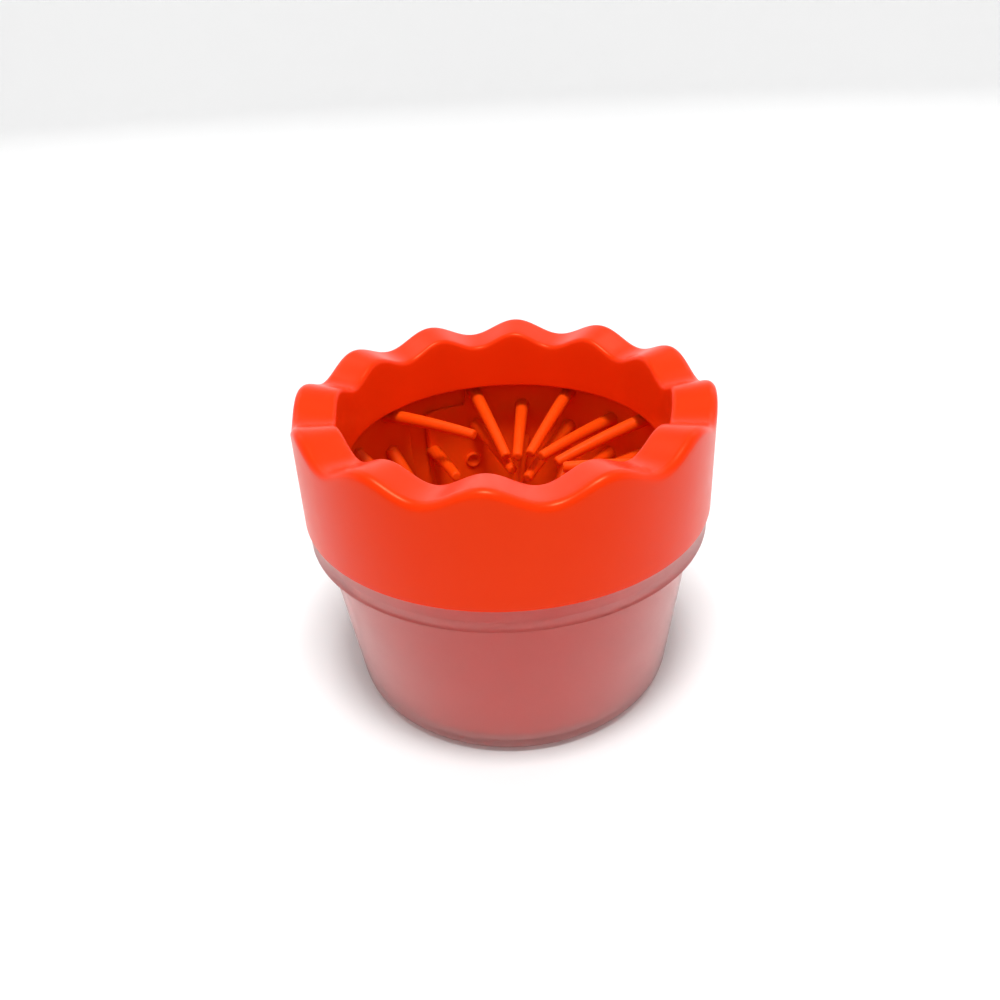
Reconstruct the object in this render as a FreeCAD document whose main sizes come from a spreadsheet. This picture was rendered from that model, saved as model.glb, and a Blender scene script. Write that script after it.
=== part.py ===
"""Paw washer cup: a frosted cup, a rolled silicone brush and a wavy splash collar.

Millimetres and degrees, +Z up, the front is towards -Y. The origin is the middle of the base, on the
surface that the cup stands on. A "turn" is an angle about Z, counted from the front, anticlockwise seen
from above.
"""

import FreeCAD, Part
import math
import os

import Sketcher
from FreeCAD import Placement, Rotation, Vector

SIZES = {
    "overall_diameter": 110.0,
    "overall_height": 85.0,
    # splash collar
    "wave_count": 12,
    "wave_rise": 4.2,
    "wave_rise_inside": 3.7,
    "wave_turn": -4.2,
    "band_lift": 1.5,
    "band_wall": 2.2,
    "skirt_bottom_height": 54.5,
    "skirt_draft": 0.7,
    "skirt_inner_radius": 52.3,
    "throat_top_radius": 43.2,
    "throat_end_radius": 41.8,
    "throat_end_height": 66.7,
    "throat_wall": 1.8,
    # cup
    "neck_radius": 51.8,
    "neck_top_height": 73.0,
    "cup_wall": 1.8,
    "shoulder_radius": 53.2,
    "shoulder_gap": 0.4,
    "crease_radius": 53.7,
    "crease_height": 50.7,
    "flange_radius": 54.5,
    "flange_bottom_height": 48.0,
    "body_top_radius": 51.0,
    "body_top_height": 47.0,
    "body_base_radius": 46.0,
    "base_rounding": 4.0,
    "floor_height": 3.2,
    "foot_recess": 0.8,
    "foot_width": 4.0,
    # silicone brush
    "brush_gap": 0.4,
    "sheet_thickness": 1.8,
    "sheet_top_height": 65.6,
    "sheet_bottom_height": 6.0,
    "seam_width": 7.0,
    "seam_turn": 217.0,
    "notch_start_turn": 195.5,
    "notch_depth": 6.6,
    "lap_thickness": 0.8,
    "gate_mark_diameter": 5.4,
    "gate_mark_rise": 1.0,
    "gate_mark_turn": 195.0,
    "gate_mark_height": 39.2,
    "bristle_root_diameter": 4.2,
    "bristle_tip_diameter": 3.0,
    "bristle_length": 32.0,
    "bristle_root": 1.0,
    "buried_end_diameter": 2.2,
    "tip_rounding": 0.7,
    "bristle_rows": 5,
    "bristles_per_row": 10,
    "row_pitch": 6.0,
    "bristle_pitch": 37.4,
    "first_row_height": 63.2,
    "first_row_turn": 5.6,
    "usual_droop": 7.0,
    "droop_spread": 3.0,
    "lean_spread": 2.0,
    # the bristles on one side hang down more
    "side_turn": 268.0,
    "side_droop": 38.0,
}

# Soft bristles that stand out of line: (row, place in the row) -> (lean sideways, droop).
STRAYS = {
    (0, 2): (6.5, 0.0),
    (0, 3): (-2.0, 12.0),
    (0, 4): (-0.5, 13.0),
    (0, 5): (7.0, 16.5),
    (0, 6): (10.0, 0.0),
    (1, 3): (-2.5, 1.0),
    (1, 4): (2.5, 4.0),
    (2, 4): (-2.0, 5.5),
    (2, 5): (9.5, 2.5),
    (2, 6): (0.0, 50.0),
    (3, 4): (0.0, 14.0),
    (3, 5): (-13.0, -12.0),
    (4, 4): (3.0, 30.0),
    (4, 6): (0.0, 50.0),
}

# Places with no bristle: the notch is too near the first, and the gate mark takes the second.
NO_BRISTLE = {(1, 5), (4, 5)}

doc = FreeCAD.newDocument("PawWasherCup")
sheet = doc.addObject("Spreadsheet::Sheet", "Sizes")
for row, (alias, value) in enumerate(SIZES.items(), start=1):
    sheet.set(f"A{row}", alias)
    sheet.set(f"B{row}", str(value))
    sheet.setAlias(f"B{row}", alias)
doc.recompute()


def size(alias):
    """Number held by the spreadsheet cell with this alias."""
    return float(sheet.get(alias))


def evaluate(expression):
    """Value of an expression in the spreadsheet's aliases."""
    return float(sheet.evalExpression(expression))


def direction(turn):
    """Level unit vector that points outwards at this turn."""
    angle = math.radians(turn)
    return Vector(math.sin(angle), -math.cos(angle), 0)


def revolved_body(name, points, angle="360"):
    """Body turned about Z from a closed profile; each point is a pair of expressions, radius and height."""
    body = doc.addObject("PartDesign::Body", name)
    plane = next(o for o in body.Origin.OriginFeatures if o.Role == "XZ_Plane")
    sketch = body.newObject("Sketcher::SketchObject", f"{name}_profile")
    sketch.AttachmentSupport = [(plane, "")]
    sketch.MapMode = "FlatFace"
    values = [[evaluate(e) for e in pair] for pair in points]
    corners = [Vector(radius, height, 0) for radius, height in values]
    for start, end in zip(corners, corners[1:] + corners[:1]):
        sketch.addGeometry(Part.LineSegment(start, end), False)
    count = len(corners)
    for line in range(count):
        sketch.addConstraint(Sketcher.Constraint("Coincident", line, 2, (line + 1) % count, 1))
    for line, pair in enumerate(points):
        for kind, expression, number in zip(("DistanceX", "DistanceY"), pair, values[line]):
            if number == 0:
                axis = -2 if kind == "DistanceX" else -1
                sketch.addConstraint(Sketcher.Constraint("PointOnObject", line, 1, axis))
                continue
            index = sketch.addConstraint(Sketcher.Constraint(kind, -1, 1, line, 1, number))
            sketch.setExpression(f"Constraints[{index}]", expression)
    turned = body.newObject("PartDesign::Revolution", f"{name}_turned")
    turned.Profile = sketch
    turned.ReferenceAxis = (sketch, ["V_Axis"])
    turned.Midplane = True
    turned.setExpression("Angle", angle)
    body.Tip = turned
    doc.recompute()
    return body


def ring_edges(shape, radius, height):
    """Names of the circular edges about Z with this radius at this height."""
    names = []
    for number, edge in enumerate(shape.Edges, start=1):
        curve = edge.Curve
        if not isinstance(curve, Part.Circle):
            continue
        if abs(curve.Radius - radius) < 0.01 and abs(curve.Center.z - height) < 0.01:
            names.append(f"Edge{number}")
    return names


def round_rings(body, name, rings, radius):
    """Fillet on a body's circular edges; radius is an expression."""
    base = body.Tip
    edges = [e for ring in rings for e in ring_edges(base.Shape, *ring)]
    fillet = body.newObject("PartDesign::Fillet", name)
    fillet.Base = (base, edges)
    fillet.setExpression("Radius", radius)
    body.Tip = fillet
    doc.recompute()


# ---------------------------------------------------------------- cup

CUP = [
    ("0", "Sizes.foot_recess"),
    ("Sizes.body_base_radius - Sizes.base_rounding - Sizes.foot_width", "Sizes.foot_recess"),
    ("Sizes.body_base_radius - Sizes.base_rounding - Sizes.foot_width", "0"),
    ("Sizes.body_base_radius", "0"),
    ("Sizes.body_top_radius", "Sizes.body_top_height"),
    ("Sizes.flange_radius", "Sizes.flange_bottom_height"),
    ("Sizes.crease_radius", "Sizes.crease_height"),
    ("Sizes.shoulder_radius", "Sizes.skirt_bottom_height - Sizes.shoulder_gap"),
    ("Sizes.neck_radius", "Sizes.skirt_bottom_height - Sizes.shoulder_gap"),
    ("Sizes.neck_radius", "Sizes.neck_top_height"),
    ("Sizes.neck_radius - Sizes.cup_wall", "Sizes.neck_top_height"),
    ("Sizes.neck_radius - Sizes.cup_wall", "Sizes.flange_bottom_height"),
    ("Sizes.body_base_radius - Sizes.cup_wall", "Sizes.floor_height"),
    ("0", "Sizes.floor_height"),
]
cup_body = revolved_body("cup_body", CUP)
round_rings(cup_body, "base_edge", [(size("body_base_radius"), 0)], "Sizes.base_rounding")
inner_base = (size("body_base_radius") - size("cup_wall"), size("floor_height"))
round_rings(cup_body, "floor_edge", [inner_base], "Sizes.base_rounding - Sizes.cup_wall")
neck_top = size("neck_top_height")
lip = [(size("neck_radius"), neck_top), (size("neck_radius") - size("cup_wall"), neck_top)]
round_rings(cup_body, "lip_edge", lip, "Sizes.cup_wall * 0.4")

# ---------------------------------------------------------------- splash collar

# The band's top is a ring of waves that stands higher, and waves more, outside than inside.
OUTER_TOP = "(Sizes.overall_height - Sizes.wave_rise / 2)"
INNER_TOP = f"({OUTER_TOP} - Sizes.band_lift)"
THROAT_SLOPE = (
    "(Sizes.throat_top_radius - Sizes.throat_end_radius)"
    f" / ({INNER_TOP} - Sizes.throat_end_height)"
)
SKIRT_SLOPE = "Sizes.skirt_draft / (Sizes.overall_height - Sizes.skirt_bottom_height)"
SPARE = "5"  # the blanks stand this much above the tallest wave
THROAT_AT_BLANK_TOP = (
    f"Sizes.throat_end_radius + {THROAT_SLOPE} * (Sizes.overall_height + {SPARE} - Sizes.throat_end_height)"
)
collar_blank = revolved_body(
    "collar_blank",
    [
        ("Sizes.throat_end_radius", "Sizes.throat_end_height"),
        ("Sizes.skirt_inner_radius", "Sizes.throat_end_height"),
        ("Sizes.skirt_inner_radius", "Sizes.skirt_bottom_height"),
        ("Sizes.overall_diameter / 2", "Sizes.skirt_bottom_height"),
        (
            f"Sizes.overall_diameter / 2 - Sizes.skirt_draft - {SKIRT_SLOPE} * {SPARE}",
            f"Sizes.overall_height + {SPARE}",
        ),
        (THROAT_AT_BLANK_TOP, f"Sizes.overall_height + {SPARE}"),
    ],
)
channel_blank = revolved_body(
    "channel_blank",
    [
        ("Sizes.throat_end_radius + Sizes.throat_wall", f"Sizes.throat_end_height - {SPARE}"),
        ("Sizes.throat_end_radius + Sizes.throat_wall", "Sizes.throat_end_height"),
        (f"{THROAT_AT_BLANK_TOP} + Sizes.throat_wall", f"Sizes.overall_height + {SPARE}"),
        ("Sizes.skirt_inner_radius", f"Sizes.overall_height + {SPARE}"),
        ("Sizes.skirt_inner_radius", f"Sizes.throat_end_height - {SPARE}"),
    ],
)


def across_band(inside, outside, radius):
    """Value at this radius, in line with its values at the band's inner and outer edge."""
    width = size("overall_diameter") / 2 - size("throat_top_radius")
    return inside + (outside - inside) * (radius - size("throat_top_radius")) / width


def wave_arc(radius, drop, start_turn):
    """One wave, from crest to crest, of the band's top at this radius, lowered by drop."""
    steps = 16
    mean_height = across_band(evaluate(INNER_TOP), evaluate(OUTER_TOP), radius) - drop
    rise = across_band(size("wave_rise_inside"), size("wave_rise"), radius)
    points = []
    lengths = []
    for step in range(steps + 1):
        turn = 360 / size("wave_count") * step / steps
        point = direction(start_turn + turn) * radius
        point.z = mean_height + rise / 2 * math.cos(2 * math.pi * step / steps)
        points.append(point)
        lengths.append(radius * math.radians(turn))
    curve = Part.BSplineCurve()
    curve.interpolate(
        Points=points,
        Parameters=lengths,
        InitialTangent=direction(start_turn + 90),
        FinalTangent=direction(start_turn + turn + 90),
    )
    return curve.toShape()


def wave_ring(name, drop):
    """Thick ring whose top follows the waves, wide enough to cover the whole collar."""
    spare = 8
    thickness = 45
    sectors = []
    for wave in range(int(size("wave_count"))):
        start_turn = size("wave_turn") + 360 / size("wave_count") * wave
        inside = wave_arc(size("throat_end_radius") - spare, drop, start_turn)
        outside = wave_arc(size("overall_diameter") / 2 + spare, drop, start_turn)
        sectors.append(Part.makeRuledSurface(inside, outside).extrude(Vector(0, 0, -thickness)))
    ring = doc.addObject("Part::Feature", name)
    ring.Shape = sectors[0].multiFuse(sectors[1:])
    return ring


below_top = wave_ring("below_band_top", 0)
below_underside = wave_ring("below_band_underside", size("band_wall"))

collar_solid = doc.addObject("Part::Common", "collar_solid")
collar_solid.Base = collar_blank
collar_solid.Tool = below_top
channel = doc.addObject("Part::Common", "channel")
channel.Base = channel_blank
channel.Tool = below_underside
splash_collar = doc.addObject("Part::Cut", "splash_collar")
splash_collar.Base = collar_solid
splash_collar.Tool = channel
doc.recompute()

# ---------------------------------------------------------------- silicone brush

INNER_SLOPE = (
    "(Sizes.neck_radius - Sizes.body_base_radius)"
    " / (Sizes.flange_bottom_height - Sizes.floor_height)"
)
BRUSH_FOOT = (
    "Sizes.body_base_radius - Sizes.cup_wall - Sizes.brush_gap"
    f" + {INNER_SLOPE} * (Sizes.sheet_bottom_height - Sizes.floor_height)"
)
BRUSH_TOP = "Sizes.neck_radius - Sizes.cup_wall - Sizes.brush_gap"
SEAM = "Sizes.seam_width * 57.3 / Sizes.neck_radius"
whole_sheet = revolved_body(
    "whole_sheet",
    [
        (BRUSH_FOOT, "Sizes.sheet_bottom_height"),
        (BRUSH_TOP, "Sizes.flange_bottom_height"),
        (BRUSH_TOP, "Sizes.sheet_top_height"),
        (f"{BRUSH_TOP} - Sizes.sheet_thickness", "Sizes.sheet_top_height"),
        (f"{BRUSH_TOP} - Sizes.sheet_thickness", "Sizes.flange_bottom_height"),
        (f"{BRUSH_FOOT} - Sizes.sheet_thickness", "Sizes.sheet_bottom_height"),
    ],
)

# The sheet's free ends lap at the seam: the front one stops short, and the thin rear one runs on behind it.
LAP_FOOT = "Sizes.body_base_radius - Sizes.cup_wall - Sizes.brush_gap - Sizes.lap_thickness"
LAP_TOP = f"{BRUSH_TOP} - Sizes.lap_thickness"
ABOVE_SHEET = "Sizes.sheet_top_height + 5"
seam = revolved_body(
    "seam",
    [
        ("0", "Sizes.floor_height"),
        (LAP_FOOT, "Sizes.floor_height"),
        (LAP_TOP, "Sizes.flange_bottom_height"),
        (LAP_TOP, ABOVE_SHEET),
        ("0", ABOVE_SHEET),
    ],
    SEAM,
)
seam.Placement = Placement(Vector(0, 0, 0), Rotation(Vector(0, 0, 1), size("seam_turn") - 90))

# The top corner of the front end is cut back by a notch, and the rear end shows through it.
notch = doc.addObject("Part::Cylinder", "notch")
notch.setExpression("Radius", LAP_TOP)
notch.setExpression("Height", "Sizes.notch_depth * 2")
notch.setExpression("Angle", "Sizes.seam_turn - Sizes.notch_start_turn")
notch_base = Vector(0, 0, size("sheet_top_height") - size("notch_depth"))
notch.Placement = Placement(notch_base, Rotation(Vector(0, 0, 1), size("notch_start_turn") - 90))

seamed_sheet = doc.addObject("Part::Cut", "seamed_sheet")
seamed_sheet.Base = whole_sheet
seamed_sheet.Tool = seam
cut_sheet = doc.addObject("Part::Cut", "cut_sheet")
cut_sheet.Base = seamed_sheet
cut_sheet.Tool = notch


def inner_radius(height):
    """Radius of the sheet's inner face."""
    below = max(size("flange_bottom_height") - height, 0)
    return evaluate(f"{BRUSH_TOP} - Sizes.sheet_thickness - {INNER_SLOPE} * {below}")


def bristle_height(row):
    """Height of the roots of a row."""
    return size("first_row_height") - row * size("row_pitch")


def bristle_turn(row, place):
    """Turn of a bristle's root; every second row is half a pitch on."""
    return size("first_row_turn") + size("bristle_pitch") * (place + (row % 2) / 2)


mark_turn = size("gate_mark_turn")
mark_height = size("gate_mark_height")
gate_mark = doc.addObject("Part::Cylinder", "gate_mark")
gate_mark.setExpression("Radius", "Sizes.gate_mark_diameter / 2")
gate_mark.setExpression("Height", "Sizes.gate_mark_rise + Sizes.bristle_root")
mark_root = direction(mark_turn) * (inner_radius(mark_height) + size("bristle_root"))
mark_root.z = mark_height
gate_mark.Placement = Placement(mark_root, Rotation(Vector(0, 0, 1), -direction(mark_turn)))

brush_sheet = doc.addObject("Part::Fuse", "brush_sheet")
brush_sheet.Base = cut_sheet
brush_sheet.Tool = gate_mark

ROOT_RADIUS = "Sizes.bristle_root_diameter / 2"
TIP_RADIUS = "Sizes.bristle_tip_diameter / 2"
BRISTLE_END = "Sizes.bristle_length + Sizes.bristle_root"
# the end inside the sheet is narrow, so that a drooping bristle doesn't come out behind the sheet
bristle = revolved_body(
    "bristle",
    [
        ("0", "0"),
        ("Sizes.buried_end_diameter / 2", "0"),
        (ROOT_RADIUS, "Sizes.bristle_root"),
        (TIP_RADIUS, BRISTLE_END),
        ("0", BRISTLE_END),
    ],
)
bristle_tip = (evaluate(TIP_RADIUS), evaluate(BRISTLE_END))
round_rings(bristle, "bristle_tip", [bristle_tip], "Sizes.tip_rounding")


def bristle_pose(row, place):
    """Where one bristle stands and which way it points."""
    turn = bristle_turn(row, place)
    number = row * size("bristles_per_row") + place
    usual_lean = size("lean_spread") * math.sin(1.7 * number)
    usual_droop = size("usual_droop") + size("droop_spread") * math.sin(2.4 * number)
    beside = max(0, math.cos(math.radians(turn - size("side_turn"))))
    usual_droop += size("side_droop") * beside**2
    lean, droop = STRAYS.get((row, place), (usual_lean, usual_droop))
    height = bristle_height(row)
    level = -direction(turn + lean)
    point = level * math.cos(math.radians(droop)) - Vector(0, 0, math.sin(math.radians(droop)))
    root = direction(turn) * inner_radius(height)
    root.z = height
    return Placement(root - point * size("bristle_root"), Rotation(Vector(0, 0, 1), point))


bristle_rows = []
for row in range(int(size("bristle_rows"))):
    rods = []
    for place in range(int(size("bristles_per_row"))):
        if (row, place) in NO_BRISTLE:
            continue
        rod = bristle.Shape.copy()
        rod.Placement = bristle_pose(row, place)
        rods.append(rod)
    node = doc.addObject("Part::Feature", f"bristle_row_{row + 1}")
    node.Shape = Part.makeCompound(rods)
    bristle_rows.append(node)
doc.recompute()

# ---------------------------------------------------------------- check and write

parts = [cup_body, splash_collar, brush_sheet] + bristle_rows
for obj in doc.Objects:
    if "Invalid" in obj.State or "Error" in obj.State:
        raise RuntimeError(f"{obj.Name} failed: {obj.State}")
os.makedirs("parts", exist_ok=True)
for node in parts:
    shape = node.Shape
    if shape.isNull() or not shape.isValid() or not shape.Solids:
        raise RuntimeError(f"{node.Label} has no valid shape")
    shape.exportStep(f"parts/{node.Label}.step")
    print(f"{node.Label}: {len(shape.Solids)} solids, {shape.Volume / 1000:.2f} cm3")
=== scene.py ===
"""Paw washer cup: the looks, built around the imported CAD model. Metres, +Z up, the front is towards -Y."""

import math

import bmesh
import bpy
from mathutils import Matrix, Vector


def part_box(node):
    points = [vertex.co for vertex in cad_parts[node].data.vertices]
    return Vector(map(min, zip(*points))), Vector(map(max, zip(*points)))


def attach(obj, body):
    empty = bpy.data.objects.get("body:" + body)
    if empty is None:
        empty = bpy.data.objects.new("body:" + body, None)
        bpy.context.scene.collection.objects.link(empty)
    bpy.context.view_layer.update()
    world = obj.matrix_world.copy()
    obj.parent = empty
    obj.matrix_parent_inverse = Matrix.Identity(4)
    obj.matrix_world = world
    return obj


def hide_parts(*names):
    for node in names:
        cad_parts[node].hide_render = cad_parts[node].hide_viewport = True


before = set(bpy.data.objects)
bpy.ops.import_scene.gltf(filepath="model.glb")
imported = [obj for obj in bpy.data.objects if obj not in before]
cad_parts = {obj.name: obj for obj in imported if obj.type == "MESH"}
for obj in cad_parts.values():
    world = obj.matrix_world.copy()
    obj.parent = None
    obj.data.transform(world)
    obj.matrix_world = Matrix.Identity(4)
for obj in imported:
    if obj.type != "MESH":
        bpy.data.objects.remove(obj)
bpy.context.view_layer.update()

MM = 0.001

# ------------------------------------------------------------------ sizes, from the frame
collar_low, collar_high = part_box("splash_collar")
_, cup_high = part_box("cup_body")
sheet_low, sheet_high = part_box("brush_sheet")

SKIRT_RADIUS = collar_high.x
TOP_HEIGHT = collar_high.z
SKIRT_BOTTOM = collar_low.z
NECK_TOP = cup_high.z
FLANGE_RADIUS = cup_high.x
SHEET_RADIUS = sheet_high.x
SHEET_TOP = sheet_high.z
SHEET_BOTTOM = sheet_low.z

# Sizes that no box gives, the same as the CAD model's.
WAVE_COUNT = 12
WAVE_RISE = 4.2 * MM
WAVE_RISE_INSIDE = 3.7 * MM
WAVE_TURN = -4.2
BAND_LIFT = 1.5 * MM
BAND_WALL = 2.2 * MM
OUTER_TOP = TOP_HEIGHT - WAVE_RISE / 2
INNER_TOP = OUTER_TOP - BAND_LIFT
SKIRT_DRAFT = 0.7 * MM
SKIRT_INSIDE = 52.3 * MM
THROAT_TOP_RADIUS = 43.2 * MM
THROAT_END_RADIUS = 41.8 * MM
THROAT_END_HEIGHT = 66.7 * MM
THROAT_WALL = 1.8 * MM
NECK_RADIUS = 51.8 * MM
CUP_WALL = 1.8 * MM
SHOULDER_RADIUS = 53.2 * MM
SHOULDER_HEIGHT = SKIRT_BOTTOM - 0.4 * MM
CREASE_RADIUS = 53.7 * MM
CREASE_HEIGHT = 50.7 * MM
FLANGE_HEIGHT = 48.0 * MM
BODY_TOP_RADIUS = 51.0 * MM
BODY_TOP_HEIGHT = 47.0 * MM
BASE_RADIUS = 46.0 * MM
BASE_ROUNDING = 4.0 * MM
FLOOR_HEIGHT = 3.2 * MM
FOOT_RECESS = 0.8 * MM
FOOT_WIDTH = 4.0 * MM
SHEET_THICKNESS = 1.8 * MM
SEAM_TURN = 217.0
SEAM_WIDTH = 7.0 * MM
NOTCH_START = 195.5
NOTCH_DEPTH = 6.6 * MM
BRISTLE_ROOT_RADIUS = 2.1 * MM
BRISTLE_TIP_RADIUS = 1.5 * MM
BURIED_END_RADIUS = 1.1 * MM
LAP_THICKNESS = 0.8 * MM
GATE_MARK_TURN = 195.0
GATE_MARK_HEIGHT = 39.2 * MM
GATE_MARK_RADIUS = 2.7 * MM

# How finely the meshes are divided. Turns and steps in turn are in degrees.
ARC_STEP = 12
JOIN_DISTANCE = 1e-7
COLLAR_STEPS = 480
CUP_STEPS = 256
SHEET_STEPS = 720
SHEET_ROWS = 26
REAR_END_STEPS = 90
BRISTLE_SIDES = 20
GATE_MARK_SIDES = 40
NOISE_DETAIL = 4.0


# ------------------------------------------------------------------ mesh helpers


def link_mesh(name, mesh, material):
    """Put a smooth-shaded mesh into the scene with its material."""
    piece = bpy.data.objects.new(name, mesh)
    bpy.context.scene.collection.objects.link(piece)
    mesh.materials.append(material)
    for face in mesh.polygons:
        face.use_smooth = True
    return piece


def new_object(name, mesh, material, body, node=None):
    """Piece that rides on a body and, if a node is named, replaces that CAD node."""
    piece = link_mesh(name, mesh, material)
    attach(piece, body)
    if node:
        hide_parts(node)
    return piece


def rounded_outline(corners, step):
    """Closed outline of (radius, height, wave share) with its corners rounded and its sides divided.

    A corner is (radius, height, wave share, rounding).
    """
    count = len(corners)
    outline = []
    for index, (radius, height, share, rounding) in enumerate(corners):
        here = Vector((radius, height))
        before = Vector(corners[index - 1][:2])
        after = Vector(corners[(index + 1) % count][:2])
        to_before = (before - here).normalized()
        to_after = (after - here).normalized()
        if rounding == 0:
            outline.append([(radius, height, share)])
            continue
        half_angle = to_before.angle(to_after) / 2
        reach = rounding / math.tan(half_angle)
        centre = here + (to_before + to_after).normalized() * rounding / math.sin(half_angle)
        start = here + to_before * reach - centre
        sweep = (here + to_after * reach - centre).angle_signed(start)
        arc = []
        pieces = max(3, round(abs(sweep) / math.radians(ARC_STEP)))
        for part in range(pieces + 1):
            turned = start.copy()
            turned.rotate(Matrix.Rotation(sweep * part / pieces, 2))
            point = centre + turned
            arc.append((point.x, point.y, share))
        outline.append(arc)
    full = []
    for index, arc in enumerate(outline):
        full += arc
        start = Vector(arc[-1])
        end = Vector(outline[(index + 1) % count][0])
        pieces = max(1, math.ceil((end - start).xy.length / step))
        full += [tuple(start.lerp(end, part / pieces)) for part in range(1, pieces)]
    return full


def revolve(name, outline, steps, wave):
    """Mesh of a closed outline turned about Z; wave(turn) is added to a point's height by its wave share."""
    mesh = bpy.data.meshes.new(name)
    vertices = []
    for step in range(steps):
        turn = 360 * step / steps
        angle = math.radians(turn)
        rise = wave(turn)
        for radius, height, share in outline:
            vertices.append((radius * math.sin(angle), -radius * math.cos(angle), height + rise * share))
    count = len(outline)
    faces = []
    for step in range(steps):
        here = step * count
        there = (step + 1) % steps * count
        for index in range(count):
            follow = (index + 1) % count
            faces.append((here + index, here + follow, there + follow, there + index))
    mesh.from_pydata(vertices, [], faces)
    return outwards(mesh)


def outwards(mesh):
    """The same mesh with doubled points joined and its faces turned outwards."""
    work = bmesh.new()
    work.from_mesh(mesh)
    bmesh.ops.remove_doubles(work, verts=work.verts, dist=JOIN_DISTANCE)
    bmesh.ops.recalc_face_normals(work, faces=work.faces)
    work.to_mesh(mesh)
    work.free()
    return mesh


def finished_mesh(work, name):
    """Mesh made from a bmesh, which is then freed."""
    mesh = bpy.data.meshes.new(name)
    work.to_mesh(mesh)
    work.free()
    return mesh


def outwards_at(turn):
    """Level direction away from the axis at this turn; the front is zero."""
    angle = math.radians(turn)
    return Vector((math.sin(angle), -math.cos(angle), 0))


def add_ring(work, centre, side, up, radius, sides):
    """New vertices in a circle round a centre, in the plane of two directions."""
    loop = []
    for number in range(sides):
        angle = 2 * math.pi * number / sides
        offset = side * math.cos(angle) + up * math.sin(angle)
        loop.append(work.verts.new(centre + offset * radius))
    return loop


def bridge(work, loops):
    """Faces between loops of vertices that follow each other, closed at both ends."""
    for first, second in zip(loops, loops[1:]):
        for number, vertex in enumerate(first):
            follow = (number + 1) % len(first)
            work.faces.new((vertex, first[follow], second[follow], second[number]))
    work.faces.new(loops[0][::-1])
    work.faces.new(loops[-1])


# ------------------------------------------------------------------ materials


def principled(name, color, roughness, **sockets):
    """Material with a Principled shader; extra sockets are set by name."""
    material = bpy.data.materials.new(name)
    material.use_nodes = True
    shader = material.node_tree.nodes["Principled BSDF"]
    shader.inputs["Base Color"].default_value = (*color, 1)
    shader.inputs["Roughness"].default_value = roughness
    for socket, value in sockets.items():
        shader.inputs[socket.replace("_", " ")].default_value = value
    return material, shader


def noise(material, scale):
    """Noise in the object's own coordinates; its Fac output is returned."""
    tree = material.node_tree
    place = tree.nodes.new("ShaderNodeTexCoord")
    texture = tree.nodes.new("ShaderNodeTexNoise")
    texture.inputs["Scale"].default_value = scale
    texture.inputs["Detail"].default_value = NOISE_DETAIL
    tree.links.new(place.outputs["Object"], texture.inputs["Vector"])
    return texture.outputs["Fac"]


# Places of the colour sockets on a Mix node, where several sockets share a name.
MIX_FACTOR = 0
MIX_COLOR_A = 6
MIX_COLOR_B = 7
MIX_COLOR_RESULT = 2

# The noise hardly ever leaves this range.
NOISE_LOW = 0.3
NOISE_HIGH = 0.7


def vary_color(material, fac, low, high, socket):
    """Mix a colour socket from low to high by a factor."""
    tree = material.node_tree
    mix = tree.nodes.new("ShaderNodeMix")
    mix.data_type = "RGBA"
    mix.inputs[MIX_COLOR_A].default_value = (*low, 1)
    mix.inputs[MIX_COLOR_B].default_value = (*high, 1)
    tree.links.new(fac, mix.inputs[MIX_FACTOR])
    tree.links.new(mix.outputs[MIX_COLOR_RESULT], socket)


def vary_number(material, fac, low, high, socket):
    """Scale a plain number's socket from low to high by a factor."""
    tree = material.node_tree
    scaled = tree.nodes.new("ShaderNodeMapRange")
    scaled.inputs["From Min"].default_value = NOISE_LOW
    scaled.inputs["From Max"].default_value = NOISE_HIGH
    scaled.inputs["To Min"].default_value = low
    scaled.inputs["To Max"].default_value = high
    tree.links.new(fac, scaled.inputs["Value"])
    tree.links.new(scaled.outputs["Result"], socket)


def bump(material, shader, fac, depth, strength):
    """Bump of this depth in metres, at part strength."""
    tree = material.node_tree
    node = tree.nodes.new("ShaderNodeBump")
    node.inputs["Strength"].default_value = strength
    node.inputs["Distance"].default_value = depth
    tree.links.new(fac, node.inputs["Height"])
    tree.links.new(node.outputs["Normal"], shader.inputs["Normal"])


def collar_material():
    """Orange-red satin plastic with a very fine grain; its warm specular tint is a painted reflection of
    warm surroundings.
    """
    material, shader = principled(
        "collar_plastic", (0.90, 0.034, 0.001), 0.31, Specular_IOR_Level=0.38,
        # Specular tint: painted warm reflection, standing in for warm surroundings that the scene does not
        # hold.
        Specular_Tint=(1.0, 0.40, 0.18, 1), Subsurface_Weight=0.12, Subsurface_Scale=0.003
    )
    shader.inputs["Subsurface Radius"].default_value = (1.0, 0.2, 0.03)
    base_color = shader.inputs["Base Color"]
    vary_color(material, noise(material, 45), (0.89, 0.031, 0.001), (0.91, 0.037, 0.001), base_color)
    vary_number(material, noise(material, 160), 0.29, 0.33, shader.inputs["Roughness"])
    bump(material, shader, noise(material, 1500), 0.012 * MM, 0.5)
    return material


def silicone_material():
    """Orange-red silicone: soft, dull, lets some light in, with the same kind of painted warm reflection in
    its specular tint.
    """
    material, shader = principled(
        "silicone", (0.99, 0.073, 0.002), 0.44, Specular_IOR_Level=0.25,
        # Specular tint: painted warm reflection, standing in for warm surroundings that the scene does not
        # hold.
        Specular_Tint=(1.0, 0.5, 0.28, 1), Subsurface_Weight=0.2, Subsurface_Scale=0.003
    )
    shader.inputs["Subsurface Radius"].default_value = (1.0, 0.2, 0.03)
    base_color = shader.inputs["Base Color"]
    vary_color(material, noise(material, 90), (0.98, 0.067, 0.002), (0.995, 0.079, 0.002), base_color)
    vary_number(material, noise(material, 120), 0.40, 0.52, shader.inputs["Roughness"])
    bump(material, shader, noise(material, 900), 0.03 * MM, 0.5)
    return material


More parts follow.
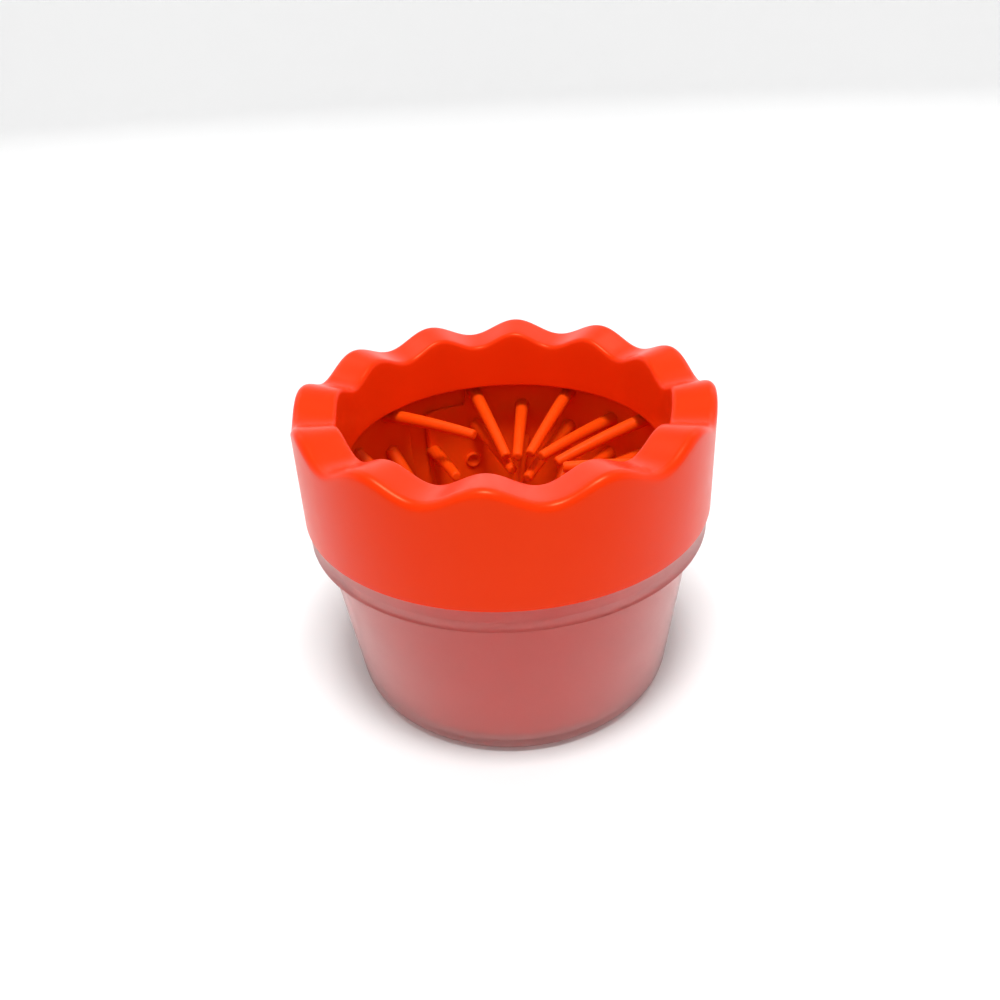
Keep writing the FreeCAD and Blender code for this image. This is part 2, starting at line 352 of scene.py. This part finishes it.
def cup_material():
    """Frosted see-through plastic with a pale pink tint: the red silicone shows through it. Its pinkish
    specular tint is a painted warm reflection.
    """
    material, shader = principled(
        # Specular tint: painted warm reflection, which makes the body's reflections redder than the white
        # studio would.
        "frosted_cup", (1.0, 0.50, 0.48), 0.36, Specular_IOR_Level=0.5, Specular_Tint=(1.0, 0.6, 0.55, 1),
        Subsurface_Weight=0.2, Subsurface_Scale=0.004,
        Transmission_Weight=0.95, IOR=1.45, Coat_Weight=0.3, Coat_Roughness=0.12
    )
    shader.inputs["Subsurface Radius"].default_value = (1.0, 0.4, 0.35)
    vary_number(material, noise(material, 160), 0.32, 0.42, shader.inputs["Roughness"])
    bump(material, shader, noise(material, 1100), 0.03 * MM, 0.6)
    return material


COLLAR_PLASTIC = collar_material()
SILICONE = silicone_material()
FROSTED_CUP = cup_material()

# ------------------------------------------------------------------ collar


def wave_rise(turn):
    """Height of the wave above its mean at this turn."""
    return WAVE_RISE / 2 * math.cos(math.radians(WAVE_COUNT * (turn - WAVE_TURN)))


def collar_outline():
    """Cross-section of the collar: throat, band and skirt, open underneath."""
    inside = WAVE_RISE_INSIDE / WAVE_RISE
    outer_edge = 2.0 * MM
    inner_edge = 1.5 * MM
    edge = 0.5 * MM
    return rounded_outline(
        [
            (THROAT_END_RADIUS, THROAT_END_HEIGHT, 0, edge),
            (THROAT_TOP_RADIUS, INNER_TOP, inside, inner_edge),
            (SKIRT_RADIUS - SKIRT_DRAFT, OUTER_TOP, 1, outer_edge),
            (SKIRT_RADIUS, SKIRT_BOTTOM, 0, 0.35 * MM),
            (SKIRT_INSIDE, SKIRT_BOTTOM, 0, edge),
            (SKIRT_INSIDE, OUTER_TOP - BAND_WALL, 1, edge),
            (THROAT_TOP_RADIUS + THROAT_WALL, INNER_TOP - BAND_WALL, inside, edge),
            (THROAT_END_RADIUS + THROAT_WALL, THROAT_END_HEIGHT, 0, edge),
        ],
        1.5 * MM,
    )


collar = new_object(
    "collar",
    revolve("collar", collar_outline(), COLLAR_STEPS, wave_rise),
    COLLAR_PLASTIC,
    "collar",
    "splash_collar",
)

# ------------------------------------------------------------------ cup


def cup_outline():
    """Cross-section of the cup, closed on the axis by a flat floor."""
    soft = 0.5 * MM
    foot_inside = BASE_RADIUS - BASE_ROUNDING - FOOT_WIDTH
    return rounded_outline(
        [
            (0, FOOT_RECESS, 0, 0),
            (foot_inside, FOOT_RECESS, 0, 0.3 * MM),
            (foot_inside, 0, 0, 0.3 * MM),
            (BASE_RADIUS, 0, 0, BASE_ROUNDING),
            (BODY_TOP_RADIUS, BODY_TOP_HEIGHT, 0, soft),
            (FLANGE_RADIUS, FLANGE_HEIGHT, 0, 0.4 * MM),
            (CREASE_RADIUS, CREASE_HEIGHT, 0, soft),
            (SHOULDER_RADIUS, SHOULDER_HEIGHT, 0, soft),
            (NECK_RADIUS, SHOULDER_HEIGHT, 0, 0.3 * MM),
            (NECK_RADIUS, NECK_TOP, 0, 0.7 * MM),
            (NECK_RADIUS - CUP_WALL, NECK_TOP, 0, 0.7 * MM),
            (NECK_RADIUS - CUP_WALL, FLANGE_HEIGHT, 0, soft),
            (BASE_RADIUS - CUP_WALL, FLOOR_HEIGHT, 0, BASE_ROUNDING - CUP_WALL),
            (0, FLOOR_HEIGHT, 0, 0),
        ],
        3 * MM,
    )


def no_wave(turn):
    """A plain round piece."""
    return 0


cup = new_object(
    "cup",
    revolve("cup", cup_outline(), CUP_STEPS, no_wave),
    FROSTED_CUP,
    "cup",
    "cup_body",
)

# ------------------------------------------------------------------ brush sheet

HALF_SEAM = math.degrees(SEAM_WIDTH / 2 / NECK_RADIUS)


def smooth_step(share):
    """0 below 0, 1 above 1, and a soft step between."""
    share = min(max(share, 0), 1)
    return share * share * (3 - 2 * share)


def sheet_top(turn):
    """Height of the sheet's top edge: lower in the notch beside the seam."""
    step_width = 1.4  # degrees
    in_notch = smooth_step((turn - NOTCH_START) / step_width) if turn < SEAM_TURN else 0
    return SHEET_TOP - NOTCH_DEPTH * in_notch


def end_curl(turn):
    """How far the sheet leans inwards near its two free ends."""
    reach = 9.0  # degrees
    lean = 1.6 * MM
    from_end = abs(turn - SEAM_TURN) - HALF_SEAM
    return lean * max(0, 1 - from_end / reach) ** 2


def sheet_outer_radius(height):
    """The sheet follows the cup's tapered wall."""
    slope = (NECK_RADIUS - BASE_RADIUS) / (FLANGE_HEIGHT - FLOOR_HEIGHT)
    return SHEET_RADIUS - slope * max(FLANGE_HEIGHT - height, 0)


def sheet_mesh(name, start, stop, steps, depth, top):
    """Face along the cup's wall from one turn to another.

    depth(turn) is how far inside the sheet's back it lies, and top(turn) is its top edge's height.
    """
    work = bmesh.new()
    grid = []
    for step in range(steps + 1):
        turn = (start + (stop - start) * step / steps) % 360
        column = []
        for row in range(SHEET_ROWS + 1):
            height = SHEET_BOTTOM + (top(turn) - SHEET_BOTTOM) * row / SHEET_ROWS
            point = outwards_at(turn) * (sheet_outer_radius(height) - depth(turn))
            point.z = height
            column.append(work.verts.new(point))
        grid.append(column)
    for left, right in zip(grid, grid[1:]):
        for row in range(SHEET_ROWS):
            work.faces.new((left[row], right[row], right[row + 1], left[row + 1]))
    return finished_mesh(work, name)


def apply_modifiers(piece):
    """Bake the piece's modifiers into its mesh."""
    seen = piece.evaluated_get(bpy.context.evaluated_depsgraph_get())
    mesh = bpy.data.meshes.new_from_object(seen)
    piece.modifiers.clear()
    piece.data = mesh


def thicken(piece, thickness, softness):
    """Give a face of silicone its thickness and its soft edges."""
    thick = piece.modifiers.new("thickness", "SOLIDIFY")
    thick.thickness = thickness
    thick.offset = 0
    soft = piece.modifiers.new("soft_edges", "BEVEL")
    soft.width = softness
    soft.segments = 3
    soft.limit_method = "ANGLE"
    soft.angle_limit = math.radians(50)
    bpy.context.view_layer.update()
    apply_modifiers(piece)


def front_depth(turn):
    """The sheet's middle, and further in where a free end leans inwards."""
    return SHEET_THICKNESS / 2 + end_curl(turn)


def rear_depth(turn):
    """Middle of the thin rear end."""
    return LAP_THICKNESS / 2


def rear_top(turn):
    """The rear end has no notch, and stops a little below the front one's edge."""
    return SHEET_TOP - 0.3 * MM


def make_sheet():
    """The rolled sheet, open at the seam, and the thin rear end that runs on behind the opening."""
    start = SEAM_TURN + HALF_SEAM
    stop = start + 360 - 2 * HALF_SEAM
    front_mesh = sheet_mesh("brush_sheet_skin", start, stop, SHEET_STEPS, front_depth, sheet_top)
    front = new_object("brush_sheet_skin", front_mesh, SILICONE, "brush", "brush_sheet")
    thicken(front, SHEET_THICKNESS, 0.4 * MM)
    lap = 5.0  # degrees
    start = NOTCH_START - lap
    stop = SEAM_TURN + HALF_SEAM + lap
    rear_mesh = sheet_mesh("brush_sheet_rear_end", start, stop, REAR_END_STEPS, rear_depth, rear_top)
    rear = new_object("brush_sheet_rear_end", rear_mesh, SILICONE, "brush")
    thicken(rear, LAP_THICKNESS, 0.2 * MM)


make_sheet()


def make_gate_mark():
    """Raised ring with a hollow middle where the silicone entered the mould."""
    outwards_here = outwards_at(GATE_MARK_TURN)
    face_radius = sheet_outer_radius(GATE_MARK_HEIGHT) - SHEET_THICKNESS
    centre = outwards_here * face_radius
    centre.z = GATE_MARK_HEIGHT
    up = Vector((0, 0, 1))
    side = outwards_here.cross(up)
    # Share of the radius, and height above the sheet's face in millimetres, from the foot to the hollow.
    rings = [
        (1.0, -0.6),
        (1.0, 0.5),
        (0.93, 0.82),
        (0.82, 0.95),
        (0.7, 0.85),
        (0.6, 0.5),
        (0.45, 0.28),
        (0.2, 0.2),
    ]
    work = bmesh.new()
    loops = []
    for share, rise in rings:
        middle = centre - outwards_here * rise * MM
        loops.append(add_ring(work, middle, side, up, GATE_MARK_RADIUS * share, GATE_MARK_SIDES))
    bridge(work, loops)
    mesh = finished_mesh(work, "gate_mark_ring")
    piece = new_object("gate_mark_ring", outwards(mesh), SILICONE, "brush")


make_gate_mark()

# ------------------------------------------------------------------ bristles


def centre_of(points):
    """Middle of some points."""
    return sum(points, Vector()) / len(points)


def rods_of(node):
    """Root and tip of each bristle solid in a CAD row."""
    work = bmesh.new()
    work.from_mesh(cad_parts[node].data)
    bmesh.ops.remove_doubles(work, verts=work.verts, dist=1e-6)
    rods = []
    # The mesh's own order is kept, so that every run gives the same result.
    seen = set()
    for first in work.verts:
        if first in seen:
            continue
        seen.add(first)
        island = [first]
        for vertex in island:
            for edge in vertex.link_edges:
                other = edge.other_vert(vertex)
                if other not in seen:
                    seen.add(other)
                    island.append(other)
        points = [v.co.copy() for v in island]
        # A bristle's root is farther from the axis than its tip.
        far = max(points, key=lambda p: p.xy.length)
        near = max(points, key=lambda p: (p - far).length)
        reach = 2.2 * BRISTLE_ROOT_RADIUS
        root = centre_of([p for p in points if (p - far).length < reach])
        tip = centre_of([p for p in points if (p - near).length < reach])
        along = (tip - root).normalized()
        shares = [(p - root).dot(along) for p in points]
        rods.append((root + along * min(shares), root + along * max(shares)))
    work.free()
    return sorted(rods, key=lambda rod: math.atan2(rod[0].y, rod[0].x))


def bristle_rings(length):
    """Distance and radius of each ring of one bristle.

    It has a narrow end inside the sheet, a flare, a tapered shaft and a flat tip with a rounded edge.
    """
    rounding = 0.7 * MM
    flare_start = 1.0
    flare_height = 0.3
    flare_fade = 0.55
    flare_end = 3.2 * MM
    shaft_rings = 12
    tip_rings = 5
    shaft_end = length - rounding
    rings = [(0, BURIED_END_RADIUS)]
    for distance in [flare_start, 1.3, 1.7, 2.3, 3.2]:
        flare = flare_height * math.exp(-(distance - flare_start) / flare_fade)
        rings.append((distance * MM, BRISTLE_ROOT_RADIUS + flare * MM))
    for part in range(1, shaft_rings + 1):
        rings.append((flare_end + (shaft_end - flare_end) * part / shaft_rings, BRISTLE_ROOT_RADIUS))
    taper = (BRISTLE_ROOT_RADIUS - BRISTLE_TIP_RADIUS) / length
    rings = [(distance, radius - taper * distance) for distance, radius in rings]
    for part in range(1, tip_rings + 1):
        angle = math.pi / 2 * part / tip_rings
        radius = BRISTLE_TIP_RADIUS - rounding * (1 - math.cos(angle))
        rings.append((shaft_end + rounding * math.sin(angle), radius))
    rings.append((length, BRISTLE_TIP_RADIUS * 0.3))
    return rings


def add_bristle(work, root, tip):
    """One soft bristle from root to tip, bowed slightly upwards in the middle so that its tip hangs."""
    along = tip - root
    length = along.length
    along.normalize()
    side = along.cross(Vector((0, 0, 1))).normalized()
    up = side.cross(along)
    bow = 0.5 * MM
    loops = []
    for distance, radius in bristle_rings(length):
        share = distance / length
        centre = root + along * distance + up * bow * 4 * share * (1 - share)
        loops.append(add_ring(work, centre, side, up, radius, BRISTLE_SIDES))
    bridge(work, loops)


def make_bristle_row(node):
    """All bristles of one row as one piece."""
    work = bmesh.new()
    for root, tip in rods_of(node):
        add_bristle(work, root, tip)
    bmesh.ops.recalc_face_normals(work, faces=work.faces)
    mesh = finished_mesh(work, f"{node}_soft")
    piece = new_object(f"{node}_soft", mesh, SILICONE, "brush", node)


for row_node in sorted(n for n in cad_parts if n.startswith("bristle_row_")):
    make_bristle_row(row_node)

# ------------------------------------------------------------------ stage, light and camera


def make_studio():
    """Plain white floor that curves up into a wall all round, far from the cup."""
    floor_radius = 2.2
    bend = 0.8
    bend_parts = 12
    wall_top = 2.6
    steps = 96
    profile = [(0, 0), (0.3, 0), (1.0, 0), (floor_radius, 0)]
    for part in range(1, bend_parts + 1):
        angle = math.pi / 2 * part / bend_parts
        profile.append((floor_radius + bend * math.sin(angle), bend * (1 - math.cos(angle))))
    profile.append((floor_radius + bend, wall_top))
    work = bmesh.new()
    loops = []
    for radius, height in profile:
        corners = []
        for step in range(steps if radius else 1):
            angle = 2 * math.pi * step / steps
            corners.append(work.verts.new((radius * math.cos(angle), radius * math.sin(angle), height)))
        loops.append(corners)
    for step in range(steps):
        work.faces.new((loops[0][0], loops[1][step], loops[1][(step + 1) % steps]))
    for inner, outer in zip(loops[1:], loops[2:]):
        for step in range(steps):
            follow = (step + 1) % steps
            work.faces.new((inner[step], outer[step], outer[follow], inner[follow]))
    material, _ = principled("studio_paint", (0.95, 0.95, 0.95), 0.7, Specular_IOR_Level=0.1)
    studio = link_mesh("studio", finished_mesh(work, "studio"), material)


def area_light(name, place, target, width, height, power):
    """Rectangular soft white light that faces its target."""
    data = bpy.data.lights.new(name, "AREA")
    data.shape = "RECTANGLE"
    data.size = width
    data.size_y = height
    data.energy = power
    lamp = bpy.data.objects.new(name, data)
    bpy.context.scene.collection.objects.link(lamp)
    lamp.location = place
    lamp.rotation_euler = (Vector(target) - Vector(place)).to_track_quat("-Z", "Y").to_euler()


def light_pair(name, place, target, width, height, power):
    """The same light on the left and on the right."""
    for label, sign in [("left", -1), ("right", 1)]:
        here = (sign * place[0], *place[1:])
        there = (sign * target[0], *target[1:])
        area_light(f"{label}_{name}", here, there, width, height, power)


def make_world(strength):
    """Even white light from all round."""
    world = bpy.data.worlds.new("studio_light")
    bpy.context.scene.world = world
    world.use_nodes = True
    background = world.node_tree.nodes["Background"]
    background.inputs["Color"].default_value = (1, 1, 1, 1)
    background.inputs["Strength"].default_value = strength


def make_camera():
    """Camera at the front, looking down on the cup and a little tilted to one side."""
    down = math.radians(31.19)
    tilt = math.radians(-2.34)
    place = (0.00475, -0.18736, 0.16323)
    forward = Vector((math.sin(down) * math.sin(tilt), math.cos(down), -math.sin(down) * math.cos(tilt)))
    right = Vector((math.cos(tilt), 0, math.sin(tilt)))
    up = right.cross(forward)
    turn = Matrix((right, up, -forward)).transposed()
    data = bpy.data.cameras.new("camera")
    data.sensor_width = 36
    data.lens = 28.08
    data.shift_x = -0.008
    data.clip_start = 0.01
    camera = bpy.data.objects.new("camera", data)
    camera.matrix_world = Matrix.Translation(place) @ turn.to_4x4()
    bpy.context.scene.collection.objects.link(camera)
    bpy.context.scene.camera = camera


make_studio()
middle = (0, 0, TOP_HEIGHT * 0.8)
area_light("top_box", (0.02, -0.18, 0.83), middle, 0.22, 0.15, 5.0)
light_pair("box", (0.70, -0.05, 0.20), middle, 0.35, 0.40, 0.2)
light_pair("backdrop_box", (0.9, 0.8, 1.3), (0.6, 2.3, 0.1), 1.0, 0.8, 11)
make_world(0.47)
make_camera()
bpy.context.scene.view_settings.view_transform = "Standard"
